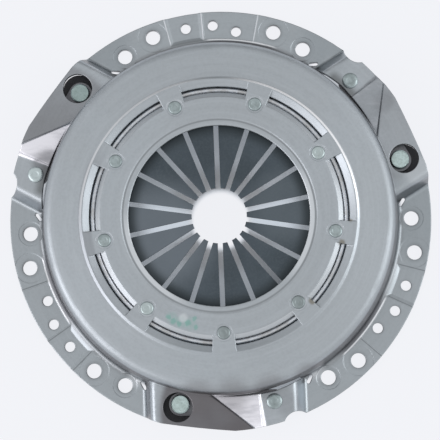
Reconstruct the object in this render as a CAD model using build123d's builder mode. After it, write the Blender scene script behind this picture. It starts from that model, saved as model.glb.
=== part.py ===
from build123d import *
import os
from math import atan2, cos, degrees, radians, sin, tan

# Clutch pressure plate of the push type with a one-piece diaphragm spring.
# Sizes are in millimetres and degrees, and +Z points away from the flywheel.
# The origin is the centre of the face that bolts against the flywheel.
# The part is shown unbolted, with the spring free and the pressure ring at its lowest.

os.makedirs("parts", exist_ok=True)

# Repeats around the axis
segment_count = 3
segment_middle = 90.0
bridge_middle = segment_middle - 180.0 / segment_count
finger_count = 18
rivet_count = finger_count // 2
first_rivet_angle = bridge_middle

# Pressed steel cover, laid out inwards from the rim of its flange
cover_sheet = 4.2
flange_radius = 144.3
flange_width = 22.3
wall_foot_radius = flange_radius - flange_width
wall_lean = 3.4
foot_bend = 3.4
shoulder_drop = 4.4
shoulder_width = 29.5
shoulder_bend = 7.0
crown_height = 36.0
crown_radius = wall_foot_radius - shoulder_width
crown_step = 1.1
crown_step_width = 1.8
crown_step_bend = 1.2
crown_width = 31.5
opening_radius = crown_radius - crown_width
lip_width = 4.3
lip_drop = 1.5
lip_round = 11.0
lip_groove_width = 1.1
lip_groove_depth = 0.5

# Holes in the flange, each group repeated for every segment
bolt_hole_radius = 5.05
pin_hole_radius = 3.5
outer_hole_margin = 9.6
inner_hole_margin = 13.6
outer_hole_circle = flange_radius - outer_hole_margin
inner_hole_circle = flange_radius - inner_hole_margin
end_bolt_angle = 28.0
inner_bolt_angle = 18.0
outer_pin_angle = 8.0
inner_pin_angle = -7.0
end_bolt_seat_radius = 8.2
inner_bolt_seat_radius = 10.3
bolt_seat_depth = 0.25

# Shallow steps coined into the top of each flange segment
pocket_start = 4.2
pocket_end = 12.4
pocket_depth = 1.5
pocket_wall_gap = 5.4
pocket_wall_slope = 63.0
land_start = -12.3
land_end = 2.7
land_depth = 0.4

# Raised bridges of the cover over the drive straps, with angles from the bridge's middle
bridge_start_angle = -24.54
bridge_end_angle = 23.64
bridge_start_lean = 4.8
bridge_end_lean = 6.8
bridge_bend = 5.4
bridge_foot_flat = 5.0
bridge_root_gap = 0.4
facet_top_inner_angle = -3.75
facet_top_outer_angle = 6.35
facet_foot_inner_angle = 10.5
facet_foot_outer_angle = 9.87
facet_rim_margin = 2.3
facet_bend = 5.6
access_hole_radius = 10.0
access_hole_margin = 13.1
access_hole_circle = flange_radius - access_hole_margin
access_hole_angle = -14.6
waist_depth = 1.7
waist_start = -18.0
waist_end = 2.0
notch_angle = 18.5
notch_radius = 10.0
notch_depth = 3.9
notch_circle = flange_radius - notch_depth + notch_radius
relief_length = 6.5
relief_width = 2.2
relief_margin = 19.5
relief_circle = flange_radius - relief_margin
relief_start_angle = -26.9
relief_end_angle = 26.9
relief_tilt = 38.0
lance_start = -3.5
lance_peak = 15.5
lance_end = 24.5
lance_rise_width = 0.9
lance_width = 2.2
lance_end_width = 1.2

# Fulcrum of the diaphragm spring
fulcrum_inset = 7.0
fulcrum_radius = crown_radius - fulcrum_inset
ring_wire_radius = 1.7
ring_split = 1.2
seat_gap = 0.05
window_slot_clearance = 0.3
slot_half_angle = 14.8
emboss_depth = 2.6
emboss_outer_width = 4.7
emboss_inner_width = 3.4

# Diaphragm spring
spring_sheet = 2.8
spring_wall_gap = 5.8
spring_outer_radius = wall_foot_radius - cover_sheet - spring_wall_gap
spring_cone = 11.0
knee_inset = 9.5
knee_radius = fulcrum_radius - knee_inset
knee_bend = 30.0
finger_rise = 4.0
finger_tip_radius = 18.7
finger_gap = 3.4
keyhole_inset = 2.5
keyhole_length = 9.6
keyhole_outer_radius = fulcrum_radius - keyhole_inset
keyhole_inner_radius = keyhole_outer_radius - keyhole_length
keyhole_width = 8.6
keyhole_corner = 3.2

# Fulcrum rivets
rivet_inset = 6.8
rivet_circle = fulcrum_radius - rivet_inset
rivet_shank_radius = 2.9
rivet_collar_radius = 3.4
rivet_head_radius = 4.5
rivet_head_flat = 3.2
rivet_head_height = 1.1
rivet_head_edge = 0.5
rivet_seat_radius = 5.8
rivet_seat_depth = 0.25
rivet_foot_radius = 8.0
rivet_foot_height = 2.4
rivet_hole_clearance = 0.05

# Cast pressure ring
face_height = 3.4
ring_wall_gap = 2.3
face_width = 38.5
face_outer_radius = wall_foot_radius - cover_sheet - ring_wall_gap
face_inner_radius = face_outer_radius - face_width
rim_height = 5.0
rim_slope_width = 2.7
ring_shoulder_radius = face_outer_radius - rim_slope_width
ring_thickness = 10.2
ring_inner_thickness = 8.4
ring_chamfer = 1.2
ridge_inset = 4.0
ridge_radius = spring_outer_radius - ridge_inset
ridge_width = 3.6
ridge_foot_width = 7.2
ridge_gap_count = 6
ridge_gap_width = 9.0
ridge_gap_length = 21.6
ridge_gap_floor = 2.0
ear_bottom_gap = 0.6
ear_thickness = 5.5
ear_radius = 11.0
ear_root_half_width = 14.0
ear_root_depth = 7.5
ear_root_radius = face_outer_radius - ear_root_depth

# Drive straps and their rivets
leaf_count = 3
leaf_sheet = 0.6
leaf_width = 16.0
strap_cover_margin = 15.0
strap_cover_circle = flange_radius - strap_cover_margin
strap_cover_angle = 14.3
strap_plate_margin = 15.5
strap_plate_circle = flange_radius - strap_plate_margin
strap_plate_angle = -14.2
strap_shank_radius = 3.5
strap_hole_clearance = 0.05
cover_head_radius = 5.3
cover_head_flat = 3.2
cover_head_height = 1.6
cover_head_edge = 0.7
cover_foot_radius = 5.6
cover_foot_height = 2.2
washer_radius = 7.2
washer_sheet = 1.0
plate_head_radius = 6.4
plate_head_flat = 5.3
plate_head_height = 4.5
plate_head_edge = 3.4
plate_foot_radius = 5.7
plate_foot_height = 1.9
plate_foot_clearance = 0.3

# Travel of the pressure ring: 4.0 to the clamped state and 1.4 of lift
ring_travel = 5.4
travel_clearance = 0.6

# How far a cut runs past the faces that it opens
cut_margin = 2.0

# Heights that follow from the sizes above
ear_bottom = face_height + ear_bottom_gap
ear_top = ear_bottom + ear_thickness
strap_top = ear_top + leaf_count * leaf_sheet
pad_top = strap_top + cover_sheet
bridge_top = pad_top + ring_travel + travel_clearance
crown_underside = crown_height - cover_sheet
upper_ring_height = crown_underside - seat_gap - ring_wire_radius
cone_slope = tan(radians(spring_cone))
ring_reach = (ring_wire_radius + seat_gap) / cos(radians(spring_cone))
spring_depth = spring_sheet / cos(radians(spring_cone))
spring_top_at_fulcrum = upper_ring_height - ring_reach
lower_ring_height = spring_top_at_fulcrum - spring_depth - ring_reach
spring_edge_height = spring_top_at_fulcrum - (spring_outer_radius - fulcrum_radius) * cone_slope
knee_height = spring_top_at_fulcrum + (fulcrum_radius - knee_radius) * cone_slope
tip_height = knee_height + (knee_radius - finger_tip_radius) * tan(radians(finger_rise))
ridge_top = spring_top_at_fulcrum - (ridge_radius - fulcrum_radius) * cone_slope - spring_depth - seat_gap
rivet_seat_height = crown_height - rivet_seat_depth
rivet_foot_top = lower_ring_height - ring_wire_radius - seat_gap
segment_turn = 360.0 / segment_count
channel_turn = 360.0 / rivet_count
wall_slope = wall_lean / (crown_height - shoulder_drop - cover_sheet)
lance_radius = wall_foot_radius - wall_slope * (pad_top - cover_sheet)
bridge_angles = [bridge_middle + number * segment_turn for number in range(segment_count)]


def around(radius, angle):
    # point at a radius and angle in the flange plane
    return (radius * cos(radians(angle)), radius * sin(radians(angle)))


def upright_plane(angle):
    # plane through the axis, with its own x pointing outwards at the angle
    outward = (cos(radians(angle)), sin(radians(angle)), 0)
    sideways = (sin(radians(angle)), -cos(radians(angle)), 0)
    return Plane(origin=(0, 0, 0), x_dir=outward, z_dir=sideways)


def bridge_plane(station):
    # upright plane across the first bridge, at a distance from the axis
    outward = (cos(radians(bridge_middle)), sin(radians(bridge_middle)), 0)
    along = (-outward[1], outward[0], 0)
    origin = (outward[0] * station, outward[1] * station, 0)
    return Plane(origin=origin, x_dir=along, z_dir=outward)


def ring_sector(inner, outer, start, end):
    # flat piece of a ring between two radii and two angles
    with BuildSketch() as sector:
        with BuildLine():
            CenterArc((0, 0), outer, start, end - start)
            CenterArc((0, 0), inner, start, end - start)
            Line(around(inner, start), around(outer, start))
            Line(around(inner, end), around(outer, end))
        make_face()
    return sector.sketch


def bridge_section(station, below):
    # corners of a bridge's section: end walls, high floor, facet and strap pad
    rim_station = flange_radius - facet_rim_margin
    share = (station - wall_foot_radius) / (rim_station - wall_foot_radius)
    facet_top_inner = wall_foot_radius * tan(radians(facet_top_inner_angle))
    facet_top_outer = rim_station * tan(radians(facet_top_outer_angle))
    facet_foot_inner = wall_foot_radius * tan(radians(facet_foot_inner_angle))
    facet_foot_outer = rim_station * tan(radians(facet_foot_outer_angle))
    facet_top = facet_top_inner + share * (facet_top_outer - facet_top_inner)
    facet_foot = facet_foot_inner + share * (facet_foot_outer - facet_foot_inner)
    foot_start = wall_foot_radius * tan(radians(bridge_start_angle))
    foot_end = wall_foot_radius * tan(radians(bridge_end_angle))
    return (
        (foot_start - bridge_foot_flat, -below),
        (foot_start - bridge_foot_flat, cover_sheet),
        (foot_start, cover_sheet),
        (foot_start + bridge_start_lean, bridge_top),
        (facet_top, bridge_top),
        (facet_foot, pad_top),
        (foot_end - bridge_end_lean, pad_top),
        (foot_end, cover_sheet),
        (foot_end + bridge_foot_flat, cover_sheet),
        (foot_end + bridge_foot_flat, -below),
    )


def bent_section(points):
    # the same section with the sheet's bends rounded at both ends
    with BuildSketch() as section:
        Polygon(*points, align=None)
        bends = ((2, foot_bend), (3, bridge_bend), (4, facet_bend), (5, facet_bend), (6, bridge_bend), (7, foot_bend))
        for corner, bend in bends:
            fillet(section.vertices().sort_by_distance(points[corner])[0], radius=bend)
    return section.sketch


# One solid bridge block, cut to the flange outline, that the cover's bridges are made from
bridge_inner_end = crown_radius
bridge_outer_end = flange_radius + cut_margin
bridge_root_radius = wall_foot_radius - cover_sheet + bridge_root_gap
with BuildPart() as bridge_block:
    for station in (bridge_inner_end, bridge_outer_end):
        with BuildSketch(bridge_plane(station)):
            add(bent_section(bridge_section(station, 0)))
    loft(ruled=True)
    with BuildSketch(Plane.XY):
        Circle(flange_radius)
        Circle(bridge_root_radius, mode=Mode.SUBTRACT)
    extrude(amount=crown_height, mode=Mode.INTERSECT)

# The space under a bridge, one sheet thickness inside the block
with BuildPart() as bridge_space:
    for station in (bridge_inner_end, bridge_outer_end):
        with BuildSketch(bridge_plane(station)):
            add(bent_section(bridge_section(station, crown_height)))
            offset(amount=-cover_sheet, kind=Kind.INTERSECTION, mode=Mode.REPLACE)
    loft(ruled=True)

# Cover: a deep drawn dish with a flange, bridges, fulcrum slots and a central opening
with BuildPart() as cover:
    with BuildSketch(Plane.XZ):
        with BuildLine():
            outer_line = FilletPolyline(
                (flange_radius, cover_sheet),
                (wall_foot_radius, cover_sheet),
                (wall_foot_radius - wall_lean, crown_height - shoulder_drop),
                (crown_radius + crown_step_width, crown_height - crown_step),
                (crown_radius, crown_height),
                (opening_radius, crown_height),
                radius=[foot_bend, shoulder_bend, crown_step_bend, crown_step_bend],
            )
            offset(outer_line, amount=cover_sheet, side=Side.LEFT)
        make_face()
    revolve(axis=Axis.Z)

    # rounded lip of the opening, with a fine groove around it
    with BuildSketch(Plane.XZ):
        with BuildLine():
            lip_start = (opening_radius + lip_width, crown_height - lip_groove_depth)
            lip_end = (opening_radius - cut_margin, lip_start[1] - lip_drop)
            groove_edge = (lip_start[0] + lip_groove_width, crown_height)
            lip_above = crown_height + cut_margin
            RadiusArc(lip_start, lip_end, -lip_round)
            Polyline(lip_end, (lip_end[0], lip_above), (groove_edge[0], lip_above), groove_edge, lip_start)
        make_face()
    revolve(axis=Axis.Z, mode=Mode.SUBTRACT)

    # shallow steps in the flange segments
    for number in range(segment_count):
        middle = segment_middle + number * segment_turn
        with BuildSketch(Plane.XY.offset(cover_sheet - pocket_depth)):
            pocket_inner = wall_foot_radius + pocket_wall_gap
            pocket_outer = flange_radius + cut_margin
            add(ring_sector(pocket_inner, pocket_outer, middle + pocket_start, middle + pocket_end))
        extrude(amount=pocket_depth, taper=-pocket_wall_slope, mode=Mode.SUBTRACT)
        with BuildSketch(Plane.XY.offset(cover_sheet - land_depth)):
            land_inner = wall_foot_radius + foot_bend
            add(ring_sector(land_inner, pocket_outer, middle + land_start, middle + land_end))
        extrude(amount=land_depth, mode=Mode.SUBTRACT)

    # bolt and pin holes, with the bolt heads' seats cut into the foot of the wall
    bolt_groups = (
        (end_bolt_angle, inner_hole_circle, end_bolt_seat_radius),
        (inner_bolt_angle, outer_hole_circle, inner_bolt_seat_radius),
        (-inner_bolt_angle, outer_hole_circle, inner_bolt_seat_radius),
        (-end_bolt_angle, inner_hole_circle, end_bolt_seat_radius),
    )
    for angle, circle, seat_radius in bolt_groups:
        with BuildSketch(Plane.XY.offset(cover_sheet - bolt_seat_depth)):
            with PolarLocations(circle, segment_count, segment_middle + angle):
                Circle(seat_radius)
        extrude(amount=cover_sheet + foot_bend, mode=Mode.SUBTRACT)
        with BuildSketch(Plane.XY):
            with PolarLocations(circle, segment_count, segment_middle + angle):
                Circle(bolt_hole_radius)
        extrude(amount=cover_sheet, mode=Mode.SUBTRACT)
    pin_groups = (
        (outer_pin_angle, outer_hole_circle),
        (0, outer_hole_circle),
        (inner_pin_angle, inner_hole_circle),
    )
    for angle, circle in pin_groups:
        with BuildSketch(Plane.XY):
            with PolarLocations(circle, segment_count, segment_middle + angle):
                Circle(pin_hole_radius)
        extrude(amount=cover_sheet, mode=Mode.SUBTRACT)

    # bridges: blocks added to the dish, then hollowed out under one sheet thickness
    with PolarLocations(0, segment_count):
        add(bridge_block.part)
    with PolarLocations(0, segment_count):
        add(bridge_space.part, mode=Mode.SUBTRACT)

    # waist and notch in the free edge of each bridge
    waist_outer = flange_radius / cos(radians(waist_end - waist_start) / 2) + cut_margin
    with BuildSketch(Plane.XY):
        for middle in bridge_angles:
            with BuildLine():
                waist_middle = middle + (waist_start + waist_end) / 2
                waist_points = (
                    around(flange_radius, middle + waist_start),
                    around(flange_radius - waist_depth, waist_middle),
                    around(flange_radius, middle + waist_end),
                )
                ThreePointArc(*waist_points)
                Polyline(
                    waist_points[2],
                    around(waist_outer, middle + waist_end),
                    around(waist_outer, middle + waist_start),
                    waist_points[0],
                )
            make_face()
            with Locations(around(notch_circle, middle + notch_angle)):
                Circle(notch_radius)
    extrude(amount=bridge_top, mode=Mode.SUBTRACT)

    # access holes over the plate rivets, and holes for the strap rivets
    with BuildSketch(Plane.XY):
        with PolarLocations(access_hole_circle, segment_count, bridge_middle + access_hole_angle):
            Circle(access_hole_radius)
        with PolarLocations(strap_cover_circle, segment_count, bridge_middle + strap_cover_angle):
            Circle(strap_shank_radius + strap_hole_clearance)
    extrude(amount=bridge_top, mode=Mode.SUBTRACT)

    # narrow opening where the strap pad and the facet are sheared from the wall
    lance_outer = (
        (lance_start, 0),
        ((lance_start + lance_peak) / 2, lance_rise_width),
        (lance_peak, lance_width),
        ((lance_peak + lance_end) / 2, (lance_width + lance_end_width) / 2),
        (lance_end, lance_end_width),
    )
    with BuildSketch(Plane.XY):
        for middle in bridge_angles:
            lance_points = [around(lance_radius + width, middle + angle) for angle, width in lance_outer]
            with BuildLine():
                ThreePointArc(lance_points[0], lance_points[1], lance_points[2])
                ThreePointArc(lance_points[2], lance_points[3], lance_points[4])
                Line(lance_points[4], around(lance_radius, middle + lance_end))
                CenterArc((0, 0), lance_radius, middle + lance_start, lance_end - lance_start)
            make_face()
    extrude(amount=bridge_top, mode=Mode.SUBTRACT)

    # relief slots at the inner corners of each bridge
    with BuildSketch(Plane.XY):
        for middle in bridge_angles:
            for angle, tilt in ((relief_start_angle, relief_tilt), (relief_end_angle, -relief_tilt)):
                with Locations(around(relief_circle, middle + angle)):
                    SlotOverall(relief_length, relief_width, rotation=middle + angle + 90 - tilt)
    extrude(amount=cover_sheet + foot_bend, mode=Mode.SUBTRACT)

    # pressed channels between the fulcrum rivets, thinned above and filled below
    for number in range(rivet_count):
        channel_middle = first_rivet_angle + (number + 0.5) * channel_turn
        slot_half_width = ring_wire_radius + window_slot_clearance
        channel_inner = fulcrum_radius - slot_half_width
        channel_outer = fulcrum_radius + slot_half_width
        for height, change in ((crown_height, Mode.SUBTRACT), (crown_underside, Mode.ADD)):
            with BuildSketch(upright_plane(channel_middle - slot_half_angle)):
                Polygon(
                    (channel_inner - emboss_inner_width, height),
                    (channel_inner, height - emboss_depth),
                    (channel_outer, height - emboss_depth),
                    (channel_outer + emboss_outer_width, height),
                    align=None,
                )
            revolve(axis=Axis.Z, revolution_arc=2 * slot_half_angle, mode=change)
        with BuildSketch(Plane.XY.offset(crown_underside - emboss_depth)):
            slot_start = channel_middle - slot_half_angle
            slot_end = channel_middle + slot_half_angle
            add(ring_sector(channel_inner, channel_outer, slot_start, slot_end))
        extrude(amount=cover_sheet + emboss_depth, mode=Mode.SUBTRACT)

    # seats and holes of the fulcrum rivets
    with BuildSketch(Plane.XY.offset(rivet_seat_height)):
        with PolarLocations(rivet_circle, rivet_count, first_rivet_angle):
            Circle(rivet_seat_radius)
    extrude(amount=cover_sheet, mode=Mode.SUBTRACT)
    with BuildSketch(Plane.XY.offset(crown_underside - cut_margin)):
        with PolarLocations(rivet_circle, rivet_count, first_rivet_angle):
            Circle(rivet_shank_radius + rivet_hole_clearance)
    extrude(amount=cover_sheet + 2 * cut_margin, mode=Mode.SUBTRACT)
cover.part.label = "cover"
export_step(cover.part, "parts/cover.step")

# Diaphragm spring: a cone outside the fulcrum and eighteen fingers inside it
with BuildPart() as diaphragm_spring:
    with BuildSketch(Plane.XZ):
        with BuildLine():
            spring_line = FilletPolyline(
                (spring_outer_radius, spring_edge_height),
                (knee_radius, knee_height),
                (finger_tip_radius, tip_height),
                radius=knee_bend,
            )
            offset(spring_line, amount=spring_sheet, side=Side.LEFT)
        make_face()
    revolve(axis=Axis.Z)
    with BuildSketch(Plane.XY):
        with PolarLocations(0, finger_count, first_rivet_angle):
            with Locations(((keyhole_inner_radius + finger_tip_radius) / 2, 0)):
                Rectangle(keyhole_inner_radius - finger_tip_radius + 2 * cut_margin, finger_gap)
            with Locations(((keyhole_inner_radius + keyhole_outer_radius) / 2, 0)):
                RectangleRounded(keyhole_length, keyhole_width, keyhole_corner)
    extrude(amount=tip_height + spring_depth, mode=Mode.SUBTRACT)
diaphragm_spring.part.label = "diaphragm_spring"
export_step(diaphragm_spring.part, "parts/diaphragm_spring.step")


# Split wire rings above and below the spring, each with its gap beside a rivet
def make_fulcrum_ring(label, height, gap_angle):
    split = degrees(ring_split / fulcrum_radius)
    with BuildPart() as fulcrum_ring:
        with BuildSketch(upright_plane(gap_angle)):
            with Locations((fulcrum_radius, height)):
                Circle(ring_wire_radius)
        revolve(axis=Axis.Z, revolution_arc=360 - split)
    fulcrum_ring.part.label = label
    export_step(fulcrum_ring.part, f"parts/{label}.step")


make_fulcrum_ring("upper_fulcrum_ring", upper_ring_height, first_rivet_angle)
make_fulcrum_ring("lower_fulcrum_ring", lower_ring_height, first_rivet_angle + 180)

# Stepped rivets that hang the rings and the spring under the cover
with BuildPart() as fulcrum_rivets:
    for number in range(rivet_count):
        rivet_place = around(rivet_circle, first_rivet_angle + number * channel_turn)
        rivet_plane = Plane(origin=(*rivet_place, 0), x_dir=(1, 0, 0), z_dir=(0, -1, 0))
        rivet_axis = Axis((*rivet_place, 0), (0, 0, 1))
        with BuildSketch(rivet_plane):
            with BuildLine():
                head_side = (rivet_head_radius, rivet_seat_height + rivet_head_edge)
                head_top = rivet_seat_height + rivet_seat_depth + rivet_head_height
                Polyline(
                    (rivet_head_flat, head_top),
                    (0, head_top),
                    (0, rivet_foot_top - rivet_foot_height),
                    (rivet_foot_radius, rivet_foot_top - rivet_foot_height),
                    (rivet_foot_radius, rivet_foot_top),
                    (rivet_collar_radius, rivet_foot_top),
                    (rivet_collar_radius, crown_underside),
                    (rivet_shank_radius, crown_underside),
                    (rivet_shank_radius, rivet_seat_height),
                    (rivet_head_radius, rivet_seat_height),
                    head_side,
                )
                TangentArc((rivet_head_flat, head_top), head_side, tangent=(1, 0))
            make_face()
        revolve(axis=rivet_axis)
fulcrum_rivets.part.label = "fulcrum_rivets"
export_step(fulcrum_rivets.part, "parts/fulcrum_rivets.step")

# Cast pressure ring with a broken fulcrum ridge and three ears for the straps
with BuildPart() as pressure_plate:
    with BuildSketch(Plane.XZ):
        with BuildLine():
            Polyline(
                (face_inner_radius, face_height),
                (face_outer_radius, face_height),
                (face_outer_radius, face_height + rim_height),
                (ring_shoulder_radius, face_height + ring_thickness),
                (ridge_radius + ridge_width, face_height + ring_thickness),
                (ridge_radius + ridge_width / 2, ridge_top - ridge_width / 2),
            )
            ThreePointArc(
                (ridge_radius + ridge_width / 2, ridge_top - ridge_width / 2),
                (ridge_radius, ridge_top),
                (ridge_radius - ridge_width / 2, ridge_top - ridge_width / 2),
            )
            Polyline(
                (ridge_radius - ridge_width / 2, ridge_top - ridge_width / 2),
                (ridge_radius - ridge_foot_width, face_height + ring_thickness),
                (face_inner_radius, face_height + ring_inner_thickness),
                (face_inner_radius, face_height),
            )
        make_face()
    revolve(axis=Axis.Z)
    face_edges = pressure_plate.edges().filter_by(GeomType.CIRCLE).group_by(Axis.Z)[0]
    chamfer(face_edges, length=ring_chamfer)
    with BuildSketch(Plane.XY.offset(face_height + ring_thickness + ridge_gap_floor)):
        with PolarLocations(0, ridge_gap_count, bridge_middle):
            with Locations((ridge_radius, 0)):
                Rectangle(ridge_gap_length, ridge_gap_width)
    extrude(amount=crown_height, mode=Mode.SUBTRACT)
    with BuildSketch(Plane.XY.offset(ear_bottom)):
        for middle in bridge_angles:
            with BuildLine():
                outward = Vector(*around(1, middle + access_hole_angle))
                sideways = Vector(-outward.Y, outward.X)
                side = sideways * ear_radius
                root_side = sideways * ear_root_half_width
                ear_line = Polyline(
                    outward * access_hole_circle + side,
                    outward * ear_root_radius + root_side,
                    outward * ear_root_radius - root_side,
                    outward * access_hole_circle - side,
                )
                ThreePointArc(ear_line @ 1, outward * (access_hole_circle + ear_radius), ear_line @ 0)
            make_face()
    extrude(amount=ear_thickness)
    with BuildSketch(Plane.XY):
        with PolarLocations(strap_plate_circle, segment_count, bridge_middle + strap_plate_angle):
            Circle(strap_shank_radius + strap_hole_clearance)
    extrude(amount=crown_height, mode=Mode.SUBTRACT)
    with BuildSketch(Plane.XY):
        with PolarLocations(strap_plate_circle, segment_count, bridge_middle + strap_plate_angle):
            Circle(plate_foot_radius + plate_foot_clearance)
    extrude(amount=ear_bottom + plate_foot_height + plate_foot_clearance, mode=Mode.SUBTRACT)
pressure_plate.part.label = "pressure_plate"
export_step(pressure_plate.part, "parts/pressure_plate.step")

# Drive straps: packs of spring steel leaves from the cover to the ears of the pressure ring
for number, middle in enumerate(bridge_angles, start=1):
    cover_end = Vector(*around(strap_cover_circle, middle + strap_cover_angle))
    plate_end = Vector(*around(strap_plate_circle, middle + strap_plate_angle))
    strap_middle = (cover_end + plate_end) / 2
    strap_line = cover_end - plate_end
    strap_turn = degrees(atan2(strap_line.Y, strap_line.X))
    for layer in range(leaf_count):
        leaf_bottom = ear_top + layer * leaf_sheet
        with BuildPart() as strap_leaf:
            with BuildSketch(Plane.XY.offset(leaf_bottom)):
                with Locations((strap_middle.X, strap_middle.Y)):
                    SlotCenterToCenter(strap_line.length, leaf_width, rotation=strap_turn)
                with Locations((cover_end.X, cover_end.Y), (plate_end.X, plate_end.Y)):
                    Circle(strap_shank_radius + strap_hole_clearance, mode=Mode.SUBTRACT)
            extrude(amount=leaf_sheet)
        leaf_name = f"strap_{number}_leaf_{layer + 1}"
        strap_leaf.part.label = leaf_name
        export_step(strap_leaf.part, f"parts/{leaf_name}.step")

    with BuildPart() as strap_washer:
        with BuildSketch(Plane.XY.offset(ear_top - washer_sheet)):
            with Locations((cover_end.X, cover_end.Y)):
                Circle(washer_radius)
                Circle(strap_shank_radius + strap_hole_clearance, mode=Mode.SUBTRACT)
        extrude(amount=washer_sheet)
    strap_washer.part.label = f"strap_washer_{number}"
    export_step(strap_washer.part, f"parts/strap_washer_{number}.step")


def make_strap_rivets(label, circle, angle, foot_radius, foot_bottom, foot_height, head):
    # three rivets, each turned about its own axis: formed foot, shank and flat head with a round edge
    head_radius, head_flat, head_bottom, head_edge, head_height = head
    with BuildPart() as strap_rivets:
        for middle in bridge_angles:
            place = around(circle, middle + angle)
            rivet_plane = Plane(origin=(*place, 0), x_dir=(1, 0, 0), z_dir=(0, -1, 0))
            with BuildSketch(rivet_plane):
                with BuildLine():
                    head_side = (head_radius, head_bottom + head_edge)
                    head_top = head_bottom + head_height
                    Polyline(
                        (head_flat, head_top),
                        (0, head_top),
                        (0, foot_bottom),
                        (foot_radius, foot_bottom),
                        (foot_radius, foot_bottom + foot_height),
                        (strap_shank_radius, foot_bottom + foot_height),
                        (strap_shank_radius, head_bottom),
                        (head_radius, head_bottom),
                        head_side,
                    )
                    TangentArc((head_flat, head_top), head_side, tangent=(1, 0))
                make_face()
            revolve(axis=Axis((*place, 0), (0, 0, 1)))
    strap_rivets.part.label = label
    export_step(strap_rivets.part, f"parts/{label}.step")


make_strap_rivets(
    "cover_strap_rivets",
    strap_cover_circle,
    strap_cover_angle,
    cover_foot_radius,
    ear_top - washer_sheet - cover_foot_height,
    cover_foot_height,
    (cover_head_radius, cover_head_flat, pad_top, cover_head_edge, cover_head_height),
)
make_strap_rivets(
    "plate_strap_rivets",
    strap_plate_circle,
    strap_plate_angle,
    plate_foot_radius,
    ear_bottom + plate_foot_clearance,
    plate_foot_height,
    (plate_head_radius, plate_head_flat, strap_top, plate_head_edge, plate_head_height),
)
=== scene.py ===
import math

import bmesh
import bpy
from mathutils import Matrix, Vector


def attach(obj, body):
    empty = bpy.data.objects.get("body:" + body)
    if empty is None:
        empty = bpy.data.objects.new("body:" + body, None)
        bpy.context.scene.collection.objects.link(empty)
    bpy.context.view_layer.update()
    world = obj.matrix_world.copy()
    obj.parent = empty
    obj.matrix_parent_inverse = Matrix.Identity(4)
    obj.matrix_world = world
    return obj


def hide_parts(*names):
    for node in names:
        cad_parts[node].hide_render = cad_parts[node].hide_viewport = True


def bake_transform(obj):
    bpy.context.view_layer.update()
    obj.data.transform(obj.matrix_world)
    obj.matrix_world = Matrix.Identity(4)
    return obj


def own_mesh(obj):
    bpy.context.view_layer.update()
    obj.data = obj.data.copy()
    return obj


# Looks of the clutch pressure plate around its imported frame. Lengths are in metres.

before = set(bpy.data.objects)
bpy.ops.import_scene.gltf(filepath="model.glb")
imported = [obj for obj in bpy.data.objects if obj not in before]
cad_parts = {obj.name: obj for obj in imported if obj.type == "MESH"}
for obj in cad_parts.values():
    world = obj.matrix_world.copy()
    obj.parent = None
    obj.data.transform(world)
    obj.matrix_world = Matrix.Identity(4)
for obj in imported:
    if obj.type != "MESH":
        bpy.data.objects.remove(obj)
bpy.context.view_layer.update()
mm = 0.001
bridgeMiddles = (30.0, 150.0, 270.0)


class Wire:
    # a node's output, with the sums that the materials need

    def __init__(self, tree, socket=None):
        self.tree = tree
        self.socket = socket

    def node(self, kind, settings=None, inputs=None, output=0):
        made = self.tree.nodes.new(kind)
        for key, value in (settings or {}).items():
            if key == "stops":
                setStops(made.color_ramp, value)
            else:
                setattr(made, key, value)
        for key, value in (inputs or {}).items():
            if isinstance(value, Wire):
                self.tree.links.new(value.socket, made.inputs[key])
            else:
                made.inputs[key].default_value = value
        return Wire(self.tree, made.outputs[output] if made.outputs else None)

    def maths(self, operation, first, second=0.0):
        return self.node("ShaderNodeMath", {"operation": operation}, {0: first, 1: second})

    def vectorMaths(self, operation, inputs, output="Value"):
        settings = {"operation": operation}
        return self.node("ShaderNodeVectorMath", settings, dict(enumerate(inputs)), output)

    def __add__(self, other):
        return self.maths("ADD", self, other)

    def __radd__(self, other):
        return self.maths("ADD", other, self)

    def __sub__(self, other):
        return self.maths("SUBTRACT", self, other)

    def __rsub__(self, other):
        return self.maths("SUBTRACT", other, self)

    def __mul__(self, other):
        return self.maths("MULTIPLY", self, other)

    def __truediv__(self, other):
        return self.maths("DIVIDE", self, other)

    def absolute(self):
        return self.maths("ABSOLUTE", self)

    def share(self, start, end):
        # 0 at start, 1 at end, with a soft turn at both, also where start is the larger
        return self.node(
            "ShaderNodeMapRange", {"interpolation_type": "SMOOTHERSTEP"},
            {"Value": self, "From Min": start, "From Max": end},
        )


def setStops(colourRamp, stops):
    while len(colourRamp.elements) < len(stops):
        colourRamp.elements.new(0.5)
    for element, (place, level) in zip(colourRamp.elements, stops):
        element.position = place
        element.color = (level, level, level, 1.0)


def newMaterial(name):
    made = bpy.data.materials.new(name)
    made.use_nodes = True
    made.node_tree.nodes.clear()
    return made, Wire(made.node_tree)


def mixColours(wire, share, first, second):
    # colours go through a Mix node, with the share from 0 to 1
    inputs = {"Factor": share, "A": first, "B": second}
    return wire.node("ShaderNodeMix", {"data_type": "RGBA"}, inputs, output="Result")


def noise(wire, place, scale, detail=3.0, roughness=0.5):
    return wire.node("ShaderNodeTexNoise", None, {
        "Vector": place, "Scale": scale, "Detail": detail, "Roughness": roughness,
    })


def parts(wire, vector):
    # a vector's x, y and z
    inputs = {"Vector": vector}
    return [wire.node("ShaderNodeSeparateXYZ", None, inputs, output=axis) for axis in "XYZ"]


def objectPlace(wire):
    return wire.node("ShaderNodeTexCoord", output="Object")


def onCircle(radius, angle, height):
    # a place from its radius, angle and height, in millimetres and degrees
    turn = math.radians(angle)
    return (radius * math.cos(turn) * mm, radius * math.sin(turn) * mm, height * mm)


def axisDistance(wire, place):
    # how far a point is from the part's axis
    flat = wire.vectorMaths("MULTIPLY", (place, (1.0, 1.0, 0.0)), "Vector")
    return wire.vectorMaths("LENGTH", (flat,))


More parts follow.
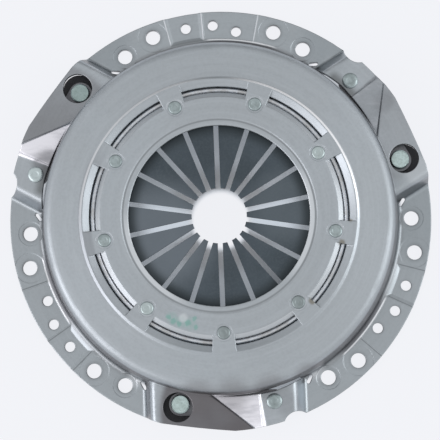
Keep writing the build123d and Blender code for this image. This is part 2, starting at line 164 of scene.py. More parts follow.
def towards(wire, place, radius, turn):
    # 1 on the side that an angle points to, 0 at right angles to it
    oneMetreOut = onCircle(1000, turn, 0)
    return wire.vectorMaths("DOT_PRODUCT", (place, oneMetreOut)) / radius


def turnedBy(wire, place, first, count=3):
    # how far round, in radians, from the nearest of some evenly spaced directions
    x, y = parts(wire, place)[:2]
    step = math.tau / count
    turned = wire.maths("ARCTAN2", y, x) - math.radians(first)
    return turned - wire.maths("ROUND", turned / step) * step


def between(value, heights):
    # 1 between two heights, with a soft start and end
    low, lowFull, highFull, high = heights
    return value.share(low, lowFull) * value.share(high, highFull)


def ringBand(radius, band):
    # 1 on a ring round the axis, given by its radii in millimetres
    return between(radius, [edge * mm for edge in band])


spotCore = 0.35              # the share of a spot's size where it is at its full strength


def nearSpot(wire, place, spot, size, wobble=None):
    # 1 in the middle of a spot, falling to 0 at its size
    away = wire.vectorMaths("DISTANCE", (place, spot))
    if wobble is not None:
        away = away + wobble
    return away.share(size, size * spotCore)


def addMarks(wire, place, marks, colour):
    # ragged spots of colour, with their sizes in millimetres
    for mark in marks:
        patches = noise(wire, place, mark["patchScale"], detail=4.0, roughness=0.6)
        wobble = (patches - 0.5) * mark["ragged"]
        for spot, size in mark["spots"]:
            found = nearSpot(wire, place, spot, size * mm, wobble) * mark["share"]
            colour = mixColours(wire, found, colour, mark["colour"])
    return colour


# The camera's place comes from fitting the holes, rivets and finger tips to the photograph
camera = {
    "distance": 1400 * mm,
    "scale": 0.68744 * mm,   # what one pixel of the photograph covers at the flange
    "pixels": 440,
    "sensor": 36.0,
    "farthest": 10.0,
    "tiltX": -5.131,
    "tiltY": -1.302,
    "roll": 2.377,
    "aim": (0.29 * mm, -0.01 * mm),
}


def makeCamera():
    turn = (
        Matrix.Rotation(math.radians(camera["roll"]), 3, "Z")
        @ Matrix.Rotation(math.radians(camera["tiltY"]), 3, "Y")
        @ Matrix.Rotation(math.radians(camera["tiltX"]), 3, "X")
    )
    data = bpy.data.cameras.new("camera")
    data.sensor_width = camera["sensor"]
    data.lens = camera["distance"] / camera["scale"] * camera["sensor"] / camera["pixels"]
    data.clip_end = camera["farthest"]
    made = bpy.data.objects.new("camera", data)
    bpy.context.scene.collection.objects.link(made)
    back = turn.transposed()
    place = -(back @ Vector((*camera["aim"], -camera["distance"])))
    made.matrix_world = Matrix.Translation(place) @ back.to_4x4()
    bpy.context.scene.camera = made
    print("camera placed")


floorPlan = {
    "size": 1.6,
    "below": 0.2 * mm,
    "offAxis": 1 * mm,       # keeps divisions by the radius away from zero
    "colour": (0.88, 0.89, 0.92, 1.0),
    "backdrop": (0.885, 0.895, 0.932, 1.0),
    # how far the floor that is seen round the part is lifted to its backdrop colour,
    "openShare": 0.95,
    # and how far under the spring's fingers, near the tips and near the rim, as painted light
    "underShares": (0.06, 0.27),
    "underColour": (0.78, 0.86, 0.96, 1.0),
    "underSpan": (26 * mm, 46 * mm),
    "centre": (24 * mm, 17 * mm),
    "rim": (121 * mm, 126 * mm),
    # painted light on the floor under the fingers: more on the left and right, and less towards the
    # lower right
    "sideShare": 0.66,       # more light comes in under the fingers from the left and right
    "sideStart": 0.80,
    "sideSpan": (72 * mm, 40 * mm),
    "dimTurn": 310,          # and less from the lower right
    "dimSide": (0.93, 0.99),
    "dimShare": 0.55,
}


def seenDirectly(wire):
    # 1 for what the camera sees straight, in metal or through glass
    straight, glossy, through = [
        wire.node("ShaderNodeLightPath", output=f"Is {kind} Ray")
        for kind in ("Camera", "Glossy", "Transmission")
    ]
    return wire.maths("MINIMUM", straight + glossy + through, 1.0)


def floorShare(wire, place, radius, opened):
    # how far the floor is lifted to the colour of the light, in the open, and under the fingers as
    # painted light
    offAxis = radius + floorPlan["offAxis"]
    aside = parts(wire, place)[0].absolute() / offAxis
    side = aside.share(floorPlan["sideStart"], 1.0) * radius.share(*floorPlan["sideSpan"])
    nearTips, nearRim = floorPlan["underShares"]
    under = nearTips + radius.share(*floorPlan["underSpan"]) * (nearRim - nearTips)
    dim = towards(wire, place, offAxis, floorPlan["dimTurn"]).share(*floorPlan["dimSide"])
    under = under * (1.0 - dim * floorPlan["dimShare"])
    covered = wire.maths("MAXIMUM", under, side * floorPlan["sideShare"])
    return wire.maths("MAXIMUM", opened * floorPlan["openShare"], covered)


def makeFloor():
    mesh = bpy.data.meshes.new("floor")
    shape = bmesh.new()
    bmesh.ops.create_grid(shape, x_segments=1, y_segments=1, size=floorPlan["size"])
    bmesh.ops.translate(shape, verts=shape.verts, vec=(0.0, 0.0, -floorPlan["below"]))
    shape.to_mesh(mesh)
    shape.free()
    floor = bpy.data.objects.new("floor", mesh)
    bpy.context.scene.collection.objects.link(floor)
    made, wire = newMaterial("paleFloor")
    place = objectPlace(wire)
    radius = axisDistance(wire, place)
    centre, rim = radius.share(*floorPlan["centre"]), radius.share(*floorPlan["rim"])
    opened = wire.maths("MAXIMUM", centre, rim)
    colour = mixColours(wire, opened, floorPlan["underColour"], floorPlan["backdrop"])
    matt = wire.node("ShaderNodeBsdfDiffuse", None, {"Color": floorPlan["colour"]})
    white = wire.node("ShaderNodeEmission", None, {"Color": colour, "Strength": 1.0})
    share = seenDirectly(wire) * floorShare(wire, place, radius, opened)
    both = wire.node("ShaderNodeMixShader", None, {0: share, 1: matt, 2: white})
    wire.node("ShaderNodeOutputMaterial", None, {"Surface": both})
    mesh.materials.append(made)
    print("floor laid")


skyPlan = {
    # level of the soft room light by the height of the direction, from the horizon up
    "levels": ((0.0, 0.70), (0.35, 0.92), (0.70, 0.93), (0.85, 0.90), (1.0, 0.90)),
    "farSide": (0.62, 0.95),         # the far wall of the room is darker, low down
    "farLevel": 0.50,
    "colour": (0.985, 0.99, 1.0, 1.0),
}

softboxes = {
    "left": {
        "from": (-0.88, -0.37, 0.60), "size": (0.90, 0.62), "power": 3.6,
        "colour": (1.0, 0.97, 1.0),
    },
    "right": {
        "from": (0.96, -0.04, 0.60), "size": (0.72, 0.62), "power": 2.8,
        "colour": (0.97, 0.99, 1.0),
    },
}


def makeSoftbox(name, plan):
    data = bpy.data.lights.new(name, "AREA")
    data.shape = "RECTANGLE"
    data.size, data.size_y = plan["size"]
    data.energy = plan["power"]
    data.color = plan["colour"]
    made = bpy.data.objects.new(name, data)
    bpy.context.scene.collection.objects.link(made)
    made.location = plan["from"]
    made.rotation_euler = Vector(plan["from"]).to_track_quat("Z", "Y").to_euler()


def makeWorld():
    world = bpy.data.worlds.new("studio")
    world.use_nodes = True
    world.node_tree.nodes.clear()
    bpy.context.scene.world = world
    wire = Wire(world.node_tree)
    y, z = parts(wire, wire.node("ShaderNodeTexCoord", output="Generated"))[1:]
    level = wire.node("ShaderNodeValToRGB", {"stops": skyPlan["levels"]}, {"Fac": z})
    far = y.share(*skyPlan["farSide"]) * (1.0 - skyPlan["farLevel"])
    sky = wire.node("ShaderNodeBackground", None, {
        "Color": skyPlan["colour"], "Strength": level * (1.0 - far),
    })
    wire.node("ShaderNodeOutputWorld", None, {"Surface": sky})
    for name, plan in softboxes.items():
        makeSoftbox(name, plan)
    bpy.context.scene.view_settings.view_transform = "Standard"
    print("lights set")


cloudSpan = (0.34, 0.68)     # the levels of noise between which clouds and specks fade in
speckSpan = (0.42, 0.64)
edgeSamples = 8


def makeMetal(name, look, wearAndShade=None):
    # satin or dark steel: soft cloudy colour, fine grain, edges rounded in the shading
    made, wire = newMaterial(name)
    place = objectPlace(wire)
    clouds = noise(wire, place, look["cloudScale"]).share(*cloudSpan)
    specks = noise(wire, place, look["speckScale"], detail=2.0).share(*speckSpan)
    colour = mixColours(wire, clouds, look["colour"], look["cloudColour"])
    colour = mixColours(wire, specks * look["speckShare"], colour, look["speckColour"])
    grain = noise(wire, place, look["grainScale"], detail=2.0) * look["grainDepth"]
    dents = noise(wire, place, look["dentScale"], detail=1.0) * look["dentDepth"]
    height = grain + dents
    roughness = look["roughness"] + (clouds - 0.5) * look["roughnessSwing"]
    # wear, painted highlights and painted shade from the piece's own function
    if wearAndShade is not None:
        colour, hollow, duller = wearAndShade(wire, place, clouds, colour)
        height = height - hollow
        roughness = roughness + duller
    edges = wire.node("ShaderNodeBevel", {"samples": edgeSamples}, {"Radius": look["edgeRadius"]})
    bump = wire.node("ShaderNodeBump", None, {
        "Height": height, "Strength": 1.0, "Distance": 1.0, "Normal": edges,
    })
    shader = wire.node("ShaderNodeBsdfPrincipled", None, {
        "Base Color": colour,
        "Metallic": look["metallic"],
        "Roughness": roughness,
        "Normal": bump,
    })
    wire.node("ShaderNodeOutputMaterial", None, {"Surface": shader})
    return made


coverLook = {
    "colour": (0.40, 0.435, 0.465, 1.0),
    "cloudColour": (0.375, 0.405, 0.43, 1.0),
    "cloudScale": 16.0,
    "speckColour": (0.30, 0.32, 0.34, 1.0),
    "speckScale": 520.0,
    "speckShare": 0.18,
    "grainScale": 1400.0,
    "grainDepth": 0.008 * mm,
    "dentScale": 70.0,
    "dentDepth": 0.10 * mm,
    "edgeRadius": 1.1 * mm,
    "roughness": 0.37,
    "roughnessSwing": 0.08,
    "metallic": 1.0,
}

# the cover's wear, with painted highlights and painted shade
coverWearAndShade = {
    "turned": {
        "colour": (0.45, 0.485, 0.515, 1.0), "scale": 420.0, "wander": 0.004,
        "span": (0.35, 0.70), "share": 0.35,
    },
    # painted shade on the steep outer wall, and along its foot
    "wall": {
        "colour": (0.15, 0.135, 0.14, 1.0), "steepness": (0.62, 0.25),
        "span": (100 * mm, 112 * mm), "share": 0.60, "merge": (onCircle(121, 139, 25), 34 * mm),
    },
    "foot": {
        "colour": (0.10, 0.085, 0.085, 1.0), "heights": (14 * mm, 7 * mm),
        "outside": (126.5 * mm, 124.0 * mm), "inside": (119 * mm, 121 * mm), "share": 0.28,
    },
    "flange": {"colour": (0.27, 0.30, 0.315, 1.0), "heights": (8 * mm, 6 * mm), "share": 0.30},
    # painted shade on the bridges' decks and pads, and painted highlight or shade on their slanted
    # facets
    "bridgeEdge": (118.3 * mm, 119.5 * mm),
    "deckTilt": (0.35, 0.55),
    "deckHeights": (20.1 * mm, 20.5 * mm, 22.0 * mm, 23.0 * mm),
    "deckShadeColour": (0.115, 0.105, 0.112, 1.0),
    "deckClouds": 0.12,
    "deckSpot": (131, 20),           # radius and height of its middle
    "deckReach": 55 * mm,
    "facetTilt": (0.50, 0.66),
    "facetHeights": (15.6 * mm, 15.9 * mm, 20.1 * mm, 20.5 * mm),
    "facetBright": (0.80, 0.79, 0.84, 1.0),
    "facetDull": (0.16, 0.165, 0.18, 1.0),
    "facetShade": {
        "colour": (0.50, 0.50, 0.54, 1.0), "scale": (38.0, 160.0, 60.0),
        "span": (0.40, 0.75), "share": 0.75,
    },
    "facetSpot": (131, 5.0, 18),     # radius, angle from the bridge's middle, and height
    "facetReach": 36 * mm,
    "reachSpan": (0.0, 0.25),
    "padShade": {
        "colour": (0.16, 0.17, 0.175, 1.0), "span": (131 * mm, 123 * mm),
        "heights": (13 * mm, 14 * mm, 16 * mm, 17 * mm),
    },
    # how dark each bridge's top is painted as shade, its slanted facet's share and colour as
    # painted highlight or shade, and its pad's painted shade
    "bridges": (
        (0.20, 0.34, "facetDull", 0.85),
        (0.46, 0.90, "facetBright", 0.85),
        (0.85, 0.95, "facetBright", 0.30),
    ),
    # painted highlights on the lip and along the crown's edge, and painted shade on the outer
    # slope, on the sides given by their turns
    "lipHighlight": {
        "colour": (0.66, 0.69, 0.72, 1.0), "band": (60.0, 60.6, 63.6, 64.4),
        "turns": ((212, 0.70), (352, 0.70)), "aside": (0.72, 0.98),
    },
    "outerSlopeShade": {
        "colour": (0.22, 0.23, 0.25, 1.0), "band": (85.0, 88.0, 94.4, 95.4),
        "turns": ((186, 0.40),), "aside": (0.70, 0.98),
    },
    "crownEdgeHighlight": {
        "colour": (0.98, 0.98, 1.0, 1.0), "band": (92.3, 92.8, 93.6, 94.2),
        "turns": ((40, 0.84), (138, 0.40)), "aside": (0.64, 0.92),
    },
    # painted shade in the groove, and a painted highlight on the inner slope
    "groove": {
        "colour": (0.17, 0.18, 0.19, 1.0), "band": (64.0, 64.5, 65.1, 65.6), "share": 0.55,
    },
    "innerSlopeHighlight": {
        "colour": (0.64, 0.67, 0.70, 1.0), "band": (80.2, 80.6, 83.4, 84.0), "share": 0.70,
    },
    "slopeHeights": (35.85 * mm, 35.6 * mm),
    "duller": {
        "inside": (108 * mm, 114 * mm), "outside": (124 * mm, 121 * mm), "share": 0.08,
    },
    # fold lines across each third of the flange, with painted shade, and a painted highlight on
    # those towards 90 degrees
    "creases": {
        "angles": (103.5, 93.1, 77.3), "width": (0.62 * mm, 0.12 * mm),
        "inside": (124.5 * mm, 127 * mm), "depth": 0.10 * mm, "share": 0.60,
        "dark": (0.13, 0.14, 0.15, 1.0), "bright": (0.80, 0.82, 0.86, 1.0),
        "brightSide": (90, (0.55, 0.85)),
    },
    # a painted shadow line and a painted highlight line along the wall's foot, between the bridges
    "paintedFootLines": (
        {
            "band": (119.0, 121.0, 123.9, 124.3), "heights": (15 * mm, 8 * mm),
            "reach": (0.27, 0.12), "share": 0.75, "colour": (0.09, 0.09, 0.10, 1.0),
        },
        {
            "band": (124.2, 124.6, 125.0, 125.6), "heights": (8 * mm, 6 * mm),
            "reach": (0.21, 0.17), "share": 0.62, "colour": (0.92, 0.93, 0.96, 1.0),
        },
    ),
    "footAngle": 81.0,
    # painted light on the steep sides of the slots
    "slotWallLight": {
        "colour": (0.92, 0.93, 0.95, 1.0), "band": (74.0, 75.0, 84.0, 85.0),
        "steepness": (0.5, 0.2), "share": 0.85,
    },
    "thirdMiddle": 90,
    # shade round the holes of one third of the flange, for bolts and for pins
    "holeShade": (
        {
            "spots": (
                (onCircle(130.7, 28, 0), 8.6), (onCircle(134.7, 18, 0), 8.6),
                (onCircle(134.7, -18, 0), 8.6), (onCircle(130.7, -28, 0), 8.6),
            ),
            "patchScale": 60.0, "ragged": 1 * mm,
            "share": 0.55, "colour": (0.15, 0.16, 0.17, 1.0),
        },
        {
            "spots": (
                (onCircle(134.7, 8, 0), 5.8), (onCircle(134.7, 0, 0), 5.8),
                (onCircle(130.7, -7, 0), 5.8),
            ),
            "patchScale": 60.0, "ragged": 1 * mm,
            "share": 0.50, "colour": (0.15, 0.16, 0.17, 1.0),
        },
    ),
    "marks": (
        {   # what is left of a dab of green paint: a thin film, a bare middle and some thicker dots
            "spots": (
                (onCircle(75.5, 243.0, 36), 5.6), (onCircle(76.0, 248.0, 36), 6.0),
                (onCircle(75.0, 253.5, 36), 6.2),
            ),
            "patchScale": 200.0, "ragged": 6 * mm,
            "share": 0.20, "colour": (0.22, 0.46, 0.40, 1.0),
        },
        {
            "spots": ((onCircle(72.6, 248.5, 36), 4.2),),
            "patchScale": 200.0, "ragged": 2 * mm,
            "share": 0.55, "colour": (0.62, 0.66, 0.68, 1.0),
        },
        {
            "spots": (
                (onCircle(76.3, 241.4, 36), 2.4), (onCircle(77.3, 244.6, 36), 2.8),
                (onCircle(77.4, 247.6, 36), 2.4), (onCircle(75.0, 251.8, 36), 2.8),
                (onCircle(71.0, 254.6, 36), 2.2), (onCircle(76.8, 256.2, 36), 2.4),
            ),
            "patchScale": 420.0, "ragged": 3 * mm,
            "share": 0.46, "colour": (0.13, 0.38, 0.31, 1.0),
        },
        {   # darker patches at the foot of the shoulder, towards the bottom
            "spots": (
                (onCircle(122, 261, 27), 18), (onCircle(122, 272, 27), 19),
                (onCircle(122, 284, 27), 17), (onCircle(123, 297, 27), 14),
            ),
            "patchScale": 50.0, "ragged": 3 * mm,
            "share": 0.40, "colour": (0.15, 0.14, 0.145, 1.0),
        },
        {   # brown bloom at the ends of some slots
            "spots": (
                (onCircle(84.6, 314.9, 35), 3.4), (onCircle(84.2, 345.0, 35), 3.4),
                (onCircle(88, 355.0, 34), 2.6),
            ),
            "patchScale": 260.0, "ragged": 2 * mm,
            "share": 0.62, "colour": (0.15, 0.12, 0.07, 1.0),
        },
        {   # painted shade at the foot of the wall
            "spots": ((onCircle(124, 160, 14), 14),),
            "patchScale": 90.0, "ragged": 5 * mm,
            "share": 0.55, "colour": (0.11, 0.11, 0.12, 1.0),
        },
        {   # painted shade: the first bridge darker towards its rim, and the last one's pad darker
            "spots": ((onCircle(136, 33, 21.5), 11), (onCircle(135, 288, 15.5), 12)),
            "patchScale": 90.0, "ragged": 5 * mm,
            "share": 0.30, "colour": (0.17, 0.175, 0.19, 1.0),
        },
        {   # painted highlights on slopes at some ends of the bridges, and at the wall's foot
            "spots": (
                (onCircle(138, 11.0, 21.5), 14), (onCircle(132, 126.9, 12), 12),
                (onCircle(132, 52.6, 10), 10), (onCircle(124, 240, 8), 9),
                (onCircle(124, 300, 8), 9),
            ),
            "patchScale": 90.0, "ragged": 4 * mm,
            "share": 0.55, "colour": (0.62, 0.65, 0.68, 1.0),
        },
        {   # duller metal on the right of the flange
            "spots": (
                (onCircle(141, 0, 4), 55), (onCircle(141, 56, 4), 30), (onCircle(141, 122, 4), 26),
            ),
            "patchScale": 60.0, "ragged": 12 * mm,
            "share": 0.30, "colour": (0.22, 0.25, 0.27, 1.0),
        },
    ),
}


def shadeBridges(wire, place, clouds, radius, height, upright, colour):
    # each bridge has its own painted shade on deck and pad, and painted highlight or shade on its
    # slanted facet
    plan = coverWearAndShade
    raised = radius.share(*plan["bridgeEdge"])
    deck = raised * upright.share(*plan["deckTilt"]) * between(height, plan["deckHeights"])
    facet = raised * upright.share(*plan["facetTilt"]) * between(height, plan["facetHeights"])
    pad = plan["padShade"]
    low = raised * between(height, pad["heights"]) * radius.share(*pad["span"])
    brush = plan["facetShade"]
    brushed = wire.vectorMaths("MULTIPLY", (place, brush["scale"]), "Vector")
    brushed = noise(wire, brushed, 1.0, detail=4.0, roughness=0.6)
    brushed = brushed.share(*brush["span"]) * brush["share"]
    deckRadius, deckHeight = plan["deckSpot"]
    facetRadius, facetTurn, facetHeight = plan["facetSpot"]
    for middle, shades in zip(bridgeMiddles, plan["bridges"]):
        deckShare, facetShare, facetColour, padShare = shades
        spot = onCircle(deckRadius, middle, deckHeight)
        near = nearSpot(wire, place, spot, plan["deckReach"]).share(*plan["reachSpan"])
        colour = mixColours(wire, low * near * padShare, colour, pad["colour"])
        dark = deckShare + (clouds - 0.5) * plan["deckClouds"]
        colour = mixColours(wire, deck * near * dark, colour, plan["deckShadeColour"])
        spot = onCircle(facetRadius, middle + facetTurn, facetHeight)
        near = nearSpot(wire, place, spot, plan["facetReach"]).share(*plan["reachSpan"])
        streaked = mixColours(wire, brushed, plan[facetColour], brush["colour"])
        colour = mixColours(wire, facet * near * facetShare, colour, streaked)
    return colour


def shadeRings(wire, place, radius, height, colour):
    # painted highlights and painted shade in rings on the bends of the crown
    for name in ("lipHighlight", "outerSlopeShade", "crownEdgeHighlight"):
        ring = coverWearAndShade[name]
        for turn, share in ring["turns"]:
            aside = towards(wire, place, radius, turn).share(*ring["aside"]) * share
            band = ringBand(radius, ring["band"]) * aside
            colour = mixColours(wire, band, colour, ring["colour"])
    lowered = height.share(*coverWearAndShade["slopeHeights"])   # not on the flat tabs between the slots
    for name in ("groove", "innerSlopeHighlight"):
        ring = coverWearAndShade[name]
        band = ringBand(radius, ring["band"]) * lowered * ring["share"]
        colour = mixColours(wire, band, colour, ring["colour"])
    return colour


def foldThirds(wire, place, radius, middle):
    # the same place for all three thirds, with their middle along X and no height
    turned = turnedBy(wire, place, middle)
    return wire.node("ShaderNodeCombineXYZ", None, {
        "X": radius * wire.maths("COSINE", turned), "Y": radius * wire.maths("SINE", turned),
    })


def creaseAndShadeFlange(wire, place, radius, height, colour):
    # fold lines with painted shade and highlight, and painted shade round the holes, alike on all
    # three thirds
    crease = coverWearAndShade["creases"]
    outside = radius.share(*crease["inside"]) * height.share(*coverWearAndShade["flange"]["heights"])
    pressed = 0.0
    for angle in crease["angles"]:
        away = turnedBy(wire, place, angle).absolute() * radius
        pressed = pressed + away.share(*crease["width"]) * outside
    turn, side = crease["brightSide"]
    lit = towards(wire, place, radius, turn).share(*side)
    lineColour = mixColours(wire, lit, crease["dark"], crease["bright"])
    colour = mixColours(wire, pressed * crease["share"], colour, lineColour)
    folded = foldThirds(wire, place, radius, coverWearAndShade["thirdMiddle"])
    shaded = addMarks(wire, folded, coverWearAndShade["holeShade"], colour)
    return mixColours(wire, outside, colour, shaded), pressed * crease["depth"]


def shadeWalls(wire, place, radius, height, upright, colour):
    # painted light on the sides of the slots, painted shade on the outer wall, and painted shade
    # and painted highlight lines along its foot
    slot = coverWearAndShade["slotWallLight"]
    inside = ringBand(radius, slot["band"]) * upright.share(*slot["steepness"]) * slot["share"]
    colour = mixColours(wire, inside, colour, slot["colour"])
    wall = coverWearAndShade["wall"]
    steep = upright.share(*wall["steepness"]) * radius.share(*wall["span"]) * wall["share"]
    steep = steep * (1.0 - nearSpot(wire, place, *wall["merge"]))
    colour = mixColours(wire, steep, colour, wall["colour"])
    foot = coverWearAndShade["foot"]
    footShade = height.share(*foot["heights"]) * radius.share(*foot["outside"])
    footShade = footShade * radius.share(*foot["inside"]) * foot["share"]
    colour = mixColours(wire, footShade, colour, foot["colour"])
    away = turnedBy(wire, place, coverWearAndShade["footAngle"]).absolute()
    for line in coverWearAndShade["paintedFootLines"]:
        shown = ringBand(radius, line["band"]) * height.share(*line["heights"])
        shown = shown * away.share(*line["reach"]) * line["share"]
        colour = mixColours(wire, shown, colour, line["colour"])
    return colour


# the cover's wear, with painted highlights and painted shade
def wearAndShadeCover(wire, place, clouds, colour):
    radius = axisDistance(wire, place)
    height = parts(wire, place)[2]
    upright = parts(wire, wire.node("ShaderNodeNewGeometry", output="Normal"))[2].absolute()

    turned = coverWearAndShade["turned"]
    rings = wire.node("ShaderNodeCombineXYZ", None, {
        "X": radius, "Y": height, "Z": clouds * turned["wander"],
    })
    streaks = noise(wire, rings, turned["scale"], detail=4.0, roughness=0.65)
    streaks = streaks.share(*turned["span"]) * turned["share"]
    colour = mixColours(wire, streaks, colour, turned["colour"])
    flange = coverWearAndShade["flange"]
    low = height.share(*flange["heights"]) * flange["share"]
    colour = mixColours(wire, low, colour, flange["colour"])

    colour = shadeBridges(wire, place, clouds, radius, height, upright, colour)
    colour = shadeRings(wire, place, radius, height, colour)
    colour, pressed = creaseAndShadeFlange(wire, place, radius, height, colour)
    colour = shadeWalls(wire, place, radius, height, upright, colour)
    duller = coverWearAndShade["duller"]
    rough = radius.share(*duller["inside"]) * radius.share(*duller["outside"]) * duller["share"]
    return addMarks(wire, place, coverWearAndShade["marks"], colour), pressed, rough


springLook = {
    "colour": (0.076, 0.094, 0.110, 1.0),
    "cloudColour": (0.066, 0.082, 0.095, 1.0),
    "cloudScale": 40.0,
    "speckColour": (0.105, 0.125, 0.14, 1.0),
    "speckScale": 700.0,
    "speckShare": 0.25,
    "grainScale": 1100.0,
    "grainDepth": 0.02 * mm,
    "dentScale": 90.0,
    "dentDepth": 0.03 * mm,
    "edgeRadius": 0.35 * mm,
    "roughness": 0.52,
    "roughnessSwing": 0.08,
    "metallic": 1.0,
}

springPaintedLight = {
    "marks": (
        {   # painted light on the fingers: brighter on the left, and a little on the right
            "spots": (((-42 * mm, -13 * mm, 31 * mm), 52),),
            "patchScale": 30.0, "ragged": 6 * mm,
            "share": 0.75, "colour": (0.165, 0.190, 0.215, 1.0),
        },
        {
            "spots": (((44 * mm, 3 * mm, 31 * mm), 34),),
            "patchScale": 30.0, "ragged": 6 * mm,
            "share": 0.40, "colour": (0.150, 0.175, 0.195, 1.0),
        },
    ),
    # painted shade towards the cover's edge, and painted light where the wire rings seat
    "rings": (
        {"colour": (0.035, 0.043, 0.047, 1.0), "span": (51 * mm, 61 * mm), "share": 0.75},
        {"colour": (0.52, 0.54, 0.58, 1.0), "span": (77 * mm, 80 * mm), "share": 0.85},
    ),
}


def paintSpringLight(wire, place, clouds, colour):
    radius = axisDistance(wire, place)
    colour = addMarks(wire, place, springPaintedLight["marks"], colour)
    for ring in springPaintedLight["rings"]:
        paintedRing = radius.share(*ring["span"]) * ring["share"]
        colour = mixColours(wire, paintedRing, colour, ring["colour"])
    return colour, 0.0, 0.0


strapLook = dict(
    springLook, colour=(0.155, 0.16, 0.17, 1.0), cloudColour=(0.115, 0.115, 0.125, 1.0),
    speckColour=(0.20, 0.20, 0.21, 1.0), roughness=0.34,
)
wireLook = dict(
    springLook, colour=(0.60, 0.63, 0.67, 1.0), cloudColour=(0.48, 0.49, 0.50, 1.0),
    cloudScale=120.0, speckColour=(0.36, 0.34, 0.31, 1.0), speckShare=0.25, roughness=0.30,
)
rivetLook = dict(
    springLook, colour=(0.36, 0.42, 0.43, 1.0), cloudColour=(0.28, 0.33, 0.335, 1.0),
    cloudScale=240.0, speckColour=(0.27, 0.31, 0.31, 1.0), speckShare=0.3, roughness=0.36,
    edgeRadius=0.5 * mm,
)
brightRivetLook = dict(
    rivetLook, colour=(0.52, 0.635, 0.625, 1.0), cloudColour=(0.44, 0.54, 0.52, 1.0),
    roughness=0.42,
)

# pressed hollows in the rivets' heads: how far they spread and how deep they are
fulcrumHeads = {
    "count": 9, "first": 30.0, "circle": 78.7 * mm,
    "hollow": (3.0 * mm, 1.2 * mm), "depth": 0.32 * mm,
    "marks": (
        {   # two darker heads
            "spots": ((onCircle(78.7, 270, 37), 9), (onCircle(78.7, 310, 37), 9)),
            "patchScale": 60.0, "ragged": 1 * mm,
            "share": 0.40, "colour": (0.19, 0.21, 0.215, 1.0),
        },
        {   # and two brighter ones
            "spots": ((onCircle(78.7, 30, 37), 9), (onCircle(78.7, 230, 37), 9)),
            "patchScale": 60.0, "ragged": 1 * mm,
            "share": 0.45, "colour": (0.56, 0.64, 0.64, 1.0),
        },
    ),
}
strapHeads = {
    "count": 3, "first": 44.4, "circle": 129.3 * mm,
    "hollow": (3.4 * mm, 1.0 * mm), "depth": 0.38 * mm,
    "marks": (
        {
            "spots": ((onCircle(129.3, 164.3, 17), 12),),
            "patchScale": 60.0, "ragged": 1 * mm,
            "share": 0.60, "colour": (0.60, 0.68, 0.69, 1.0),
        },
    ),
}


def nearestOnCircle(wire, place, plan):
    # distance from the nearest of the points that repeat evenly on a circle
    turned = turnedBy(wire, place, plan["first"], plan["count"])
    radius = axisDistance(wire, place)
    apart = wire.node("ShaderNodeCombineXYZ", None, {
        "X": radius - plan["circle"], "Y": radius * turned,
    })
    return wire.vectorMaths("LENGTH", (apart,))


def dishWith(plan):
    def wearAndShade(wire, place, clouds, colour):
        hollow = nearestOnCircle(wire, place, plan).share(*plan["hollow"]) * plan["depth"]
        return addMarks(wire, place, plan["marks"], colour), hollow, 0.0
    return wearAndShade


dullRivet = (
    {
        "spots": ((onCircle(128.8, 135.8, 12), 12),),
        "patchScale": 60.0, "ragged": 1 * mm,
        "share": 0.62, "colour": (0.20, 0.265, 0.26, 1.0),
    },
)


def wearRivet(wire, place, clouds, colour):
    return addMarks(wire, place, dullRivet, colour), 0.0, 0.0


ironLook = dict(
    springLook, colour=(0.085, 0.083, 0.086, 1.0), cloudColour=(0.065, 0.060, 0.060, 1.0),
    roughness=0.55, speckColour=(0.12, 0.115, 0.11, 1.0), grainDepth=0.06 * mm,
    grainScale=700.0,
)

turnedFace = {
    "heights": (4.6 * mm, 4.0 * mm), "colour": (0.30, 0.30, 0.31, 1.0), "scale": 420.0,
    "span": (0.35, 0.70), "lineShare": 0.30, "groove": 0.03 * mm,
}

# painted shade on the ring's iron where it is seen through the bridges' access holes
shadedIron = (
    {
        "spots": tuple((onCircle(131, middle - 14.6, 8), 22) for middle in bridgeMiddles),
        "patchScale": 60.0, "ragged": 3 * mm,
        "share": 0.70, "colour": (0.026, 0.028, 0.032, 1.0),
    },
)


def wearAndShadeIron(wire, place, clouds, colour):
    # black casting with a turned friction face underneath, and painted shade in the access holes
    rings = wire.node("ShaderNodeCombineXYZ", None, {"X": axisDistance(wire, place)})
    lines = noise(wire, rings, turnedFace["scale"], detail=3.0, roughness=0.6)
    lines = lines.share(*turnedFace["span"])
    face = parts(wire, place)[2].share(*turnedFace["heights"])
    bare = face * (1.0 - lines * turnedFace["lineShare"])
    colour = mixColours(wire, bare, colour, turnedFace["colour"])
    return addMarks(wire, place, shadedIron, colour), face * lines * turnedFace["groove"], 0.0


looksByNode = {
    "cover": ("coverSteel", coverLook, wearAndShadeCover),
    "diaphragm_spring": ("springSteel", springLook, paintSpringLight),
    "fulcrum_rivets": ("fulcrumRivet", rivetLook, dishWith(fulcrumHeads)),
    "cover_strap_rivets": ("strapRivet", rivetLook, dishWith(strapHeads)),
    "plate_strap_rivets": ("plateRivet", brightRivetLook, wearRivet),
    "pressure_plate": ("ringIron", ironLook, wearAndShadeIron),
    "upper_fulcrum_ring": ("drawnWire", wireLook, None),
    "lower_fulcrum_ring": ("drawnWire", wireLook, None),
}
finishes = {}


def finishOf(node):
    name, look, wearAndShade = looksByNode.get(node, ("strapSteel", strapLook, None))
    if name not in finishes:
        finishes[name] = makeMetal(name, look, wearAndShade)
    return finishes[name]


def dressNodes():
    for node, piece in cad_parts.items():
        piece.data.materials.clear()
        piece.data.materials.append(finishOf(node))
    print("materials given to", len(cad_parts), "frame nodes")


weldGap = 0.001 * mm
sharpAngle = 30


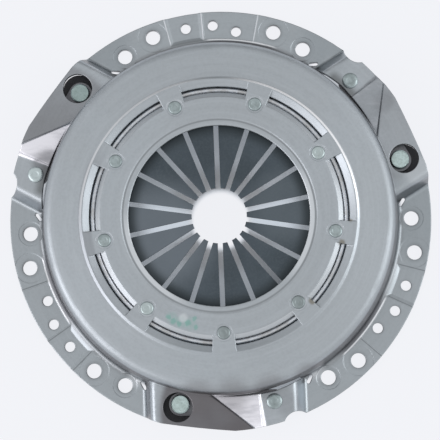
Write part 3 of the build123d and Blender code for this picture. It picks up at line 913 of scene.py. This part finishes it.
def copyOfNode(node, name):
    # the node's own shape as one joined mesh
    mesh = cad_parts[node].data.copy()
    mesh.name = name
    shape = bmesh.new()
    shape.from_mesh(mesh)
    bmesh.ops.remove_doubles(shape, verts=shape.verts, dist=weldGap)
    return mesh, shape


def addPiece(name, mesh, shape, finish):
    shape.to_mesh(mesh)
    shape.free()
    mesh.shade_smooth()
    mesh.set_sharp_from_angle(angle=math.radians(sharpAngle))
    mesh.materials.clear()
    mesh.materials.append(finish)
    made = bpy.data.objects.new(name, mesh)
    bpy.context.scene.collection.objects.link(made)
    return made


springPlan = {
    "node": "diaphragm_spring",
    "slot": "spring_steel",
    "fulcrum": 28.3 * mm,
    "keep": 0.25,            # its share of its height once the pressure ring is fully lifted
}


def makeSpring():
    mesh, shape = copyOfNode(springPlan["node"], "flexingSpring")
    finish = finishOf(springPlan["node"])
    made = addPiece("flexingSpring", mesh, shape, finish)
    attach(made, "cover_assembly")
    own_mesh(made)
    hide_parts(springPlan["node"])


strapPlan = {
    "slot": "strap_steel",
    "leaves": 3,
    "height": 10,
    "coverEnd": (129.3, 14.3),       # radius, and angle from the bridge's middle
    "plateEnd": (128.8, -14.2),
    "holeShare": 0.17,               # the ends round the rivets stay straight
    "cuts": 14,
}


def makeLeaf(bridge, middle, leaf):
    node = f"strap_{bridge}_leaf_{leaf}"
    start, end = [
        Vector(onCircle(radius, middle + angle, strapPlan["height"]))
        for radius, angle in (strapPlan["coverEnd"], strapPlan["plateEnd"])
    ]
    mesh, shape = copyOfNode(node, f"bendingStrap{bridge}Leaf{leaf}")
    along = end - start
    for cut in range(1, strapPlan["cuts"]):
        bmesh.ops.bisect_plane(
            shape, geom=shape.verts[:] + shape.edges[:] + shape.faces[:],
            plane_co=start + along * (cut / strapPlan["cuts"]), plane_no=along,
        )
    made = addPiece(mesh.name, mesh, shape, finishOf(node))
    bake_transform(made)
    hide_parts(node)


def makeStraps():
    for bridge, middle in enumerate(bridgeMiddles, 1):
        for leaf in range(1, strapPlan["leaves"] + 1):
            makeLeaf(bridge, middle, leaf)


makeCamera()
makeFloor()
makeWorld()
dressNodes()
makeSpring()
makeStraps()
